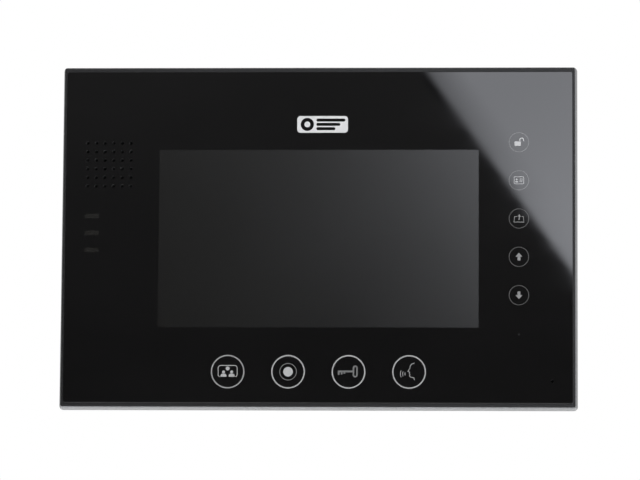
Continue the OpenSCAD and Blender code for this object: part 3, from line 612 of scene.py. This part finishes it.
SCREEN_WIDTH, SCREEN_HEIGHT, SCREEN_CORNER = 154.6, 86.4, 0.25
plate("screen_face", [rounded(SCREEN_X, SCREEN_Z, SCREEN_WIDTH, SCREEN_HEIGHT, SCREEN_CORNER)],
      MATERIALS["screen"])

LAMP_PITCH = 8.3
LAMP_WIDTH, LAMP_HEIGHT, LAMP_CORNER = 6.8, 2.2, 0.4
lamp_x, _ = middle("indicator_lenses")
_, lamp_z = middle("indicator_board")
lamp_glass = plastic("lamp_glass", (0.0078, 0.0073, 0.0062), 0.2, bump=0.02)
plate("indicator_windows", [
    rounded(lamp_x, lamp_z + LAMP_PITCH * i, LAMP_WIDTH, LAMP_HEIGHT, LAMP_CORNER)
    for i in (-1, 0, 1)], lamp_glass)

STATUS_RADIUS, STATUS_SIDES = 0.6, 24
status_glass = plastic("status_glass", (0.012, 0.012, 0.012), 0.06, bump=0.02)
plate("status_dot", [circle(*middle("status_light_pipe"), STATUS_RADIUS, STATUS_SIDES)],
      status_glass)


# ---------- stage, in metres ----------

def sheet_object(name, corners, material):
    mesh = bpy.data.meshes.new(name)
    mesh.from_pydata(corners, [], [tuple(range(len(corners)))])
    mesh.materials.append(material)
    made = bpy.data.objects.new(name, mesh)
    scene.collection.objects.link(made)
    return made


FLOOR_Z = -1.3
FLOOR_REACH = 8


def add_floor():
    """A pale floor. It glows more with distance, a painted light, so that its far edge meets
    the white room."""
    bright_from, bright_most = 2.5, 0.8
    t = Finish("floor_pale")
    tone = t.mix(t.noise(6.0), (0.86, 0.86, 0.86), (0.90, 0.90, 0.90))
    away = t.node("VectorMath", {0: t.place}, operation="LENGTH").outputs["Value"]
    # Painted glow on the floor, stronger with distance from the middle
    glow = t.span(away, (bright_from, FLOOR_REACH), (0.0, bright_most), soft=True)
    t.set(Base_Color=tone, Roughness=0.8, Emission_Color=(1.0, 1.0, 1.0),
          Emission_Strength=glow)
    sheet_object("floor", [
        (x * FLOOR_REACH, y * FLOOR_REACH, FLOOR_Z)
        for x, y in ((-1, -1), (1, -1), (1, 1), (-1, 1))], t.mat)


# A softbox that the panel mirrors at its upper right. Its lower left edge runs
# through two points, and these are the places on the panel that mirror them to
# the camera, in millimetres from the middle of the screen.
EDGE_TOP = (51.2, 81.4)
EDGE_LOW = (122.7, -17.7)
CARD_Y = -1.5
CARD_DEPTH = 0.55
CARD_PAST_TOP = 0.45
CARD_PAST_LOW = 0.30
CARD_MARGIN = 0.006


def seen_in_panel(x, z):
    """Where a ray from the camera, mirrored by the panel at x, z, meets the softbox."""
    hit = Vector((AIM.x + x * MM, PANEL_FRONT, AIM.z + z * MM))
    ray = hit - EYE
    ray.y = -ray.y
    return hit + ray * ((CARD_Y - hit.y) / ray.y)


def softbox_light(start, along, inward):
    """White light that fades in from the edge: crisply near the lower end of the
    edge and gently near its top, and brighter towards the lower end."""
    t = Finish("softbox")
    t.nodes.remove(t.bsdf)
    position = t.node("NewGeometry").outputs["Position"]
    offset = t.node("VectorMath", {0: position, 1: tuple(start)}, operation="SUBTRACT")

    def distance(direction):
        return t.node("VectorMath", {0: offset.outputs[0], 1: tuple(direction)},
                      operation="DOT_PRODUCT").outputs["Value"]

    depth, run = distance(inward), distance(along)
    crisp = t.span(depth, (-0.0025, 0.0055), (0.03, 1.0), soft=True)
    gentle = t.span(depth, (0.0, 0.028), FULL)
    share = t.span(run, (-0.02, 0.16), (0.38, 0.92))
    edge = t.math("ADD", t.math("MULTIPLY", crisp, share),
                  t.math("MULTIPLY", gentle, t.math("SUBTRACT", 1.0, share)))
    glow = t.span(run, (0.04, 0.24), (4.35, 5.60), soft=True)
    emission = t.node("Emission", {
        "Color": (0.952, 0.975, 1.045, 1.0), "Strength": t.math("MULTIPLY", edge, glow)})
    t.links.new(emission.outputs[0], t.nodes["Material Output"].inputs[0])
    return t.mat


def add_softbox():
    top, low = seen_in_panel(*EDGE_TOP), seen_in_panel(*EDGE_LOW)
    along = (low - top).normalized()
    inward = Vector((-along.z, 0, along.x))
    start = top - along * CARD_PAST_TOP
    end = low + along * CARD_PAST_LOW
    softbox = sheet_object("softbox", [
        start - inward * CARD_MARGIN, end - inward * CARD_MARGIN,
        end + inward * CARD_DEPTH, start + inward * CARD_DEPTH],
        softbox_light(top, along, inward))
    softbox.visible_camera = False
    softbox.visible_shadow = False


def add_room():
    """White behind the object for the camera. For light and reflections the room is
    bright to the right, below and behind, and dim elsewhere."""
    world = bpy.data.worlds.new("studio")
    scene.world = world
    t = Tree(world)
    x, y, z = t.axes(t.node("TexCoord").outputs["Generated"])
    to_right = t.span(x, (0.25, 0.85), (0.0, 0.70), soft=True)
    below = t.span(z, (-0.25, -0.85), (0.0, 0.5), soft=True)
    above = t.span(z, (0.45, 0.95), (0.0, 0.13), soft=True)
    behind = t.span(y, (-0.05, 0.45), (0.0, 0.5), soft=True)
    # The part that the panel mirrors to the camera, brighter towards its top
    upward = t.span(z, (0.10, 0.18), (0.062, 0.165))
    in_front = t.span(y, (-0.98, -0.90), (1.0, 0.0), soft=True)
    mirrored = t.math("MULTIPLY", upward, in_front)
    level = 0.07
    for lit in (to_right, below, above, behind, mirrored):
        level = t.math("MAXIMUM", level, lit)
    camera_ray = t.node("LightPath").outputs["Is Camera Ray"]
    background = t.nodes["Background"]
    t.put(background.inputs["Color"], (1, 1, 1, 1))
    t.put(background.inputs["Strength"], t.math("MAXIMUM", level, camera_ray))


def area_light(name, place, target, size, power):
    data = bpy.data.lights.new(name, "AREA")
    data.size = size
    data.energy = power
    light = bpy.data.objects.new(name, data)
    light.location = place
    light.rotation_mode = "QUATERNION"
    light.rotation_quaternion = (Vector(target) - Vector(place)).to_track_quat("-Z", "Y")
    scene.collection.objects.link(light)
    light.visible_glossy = False
    light.visible_camera = False


add_floor()
add_softbox()
add_room()
WALL = (0, 0, 0)
area_light("key", place=(0.6, -1.2, 1.4), target=WALL, size=0.8, power=20)
area_light("back", place=(-0.8, 1.4, 1.2), target=WALL, size=0.8, power=16)
area_light("top", place=(0, -0.3, 2.4), target=WALL, size=1.6, power=40)
area_light("under", place=(0.2, -0.2, -1.1), target=WALL, size=1.8, power=2)
area_light("floor_wash", place=(0, 0, -0.55), target=(0, 0, FLOOR_Z), size=9.0, power=105)
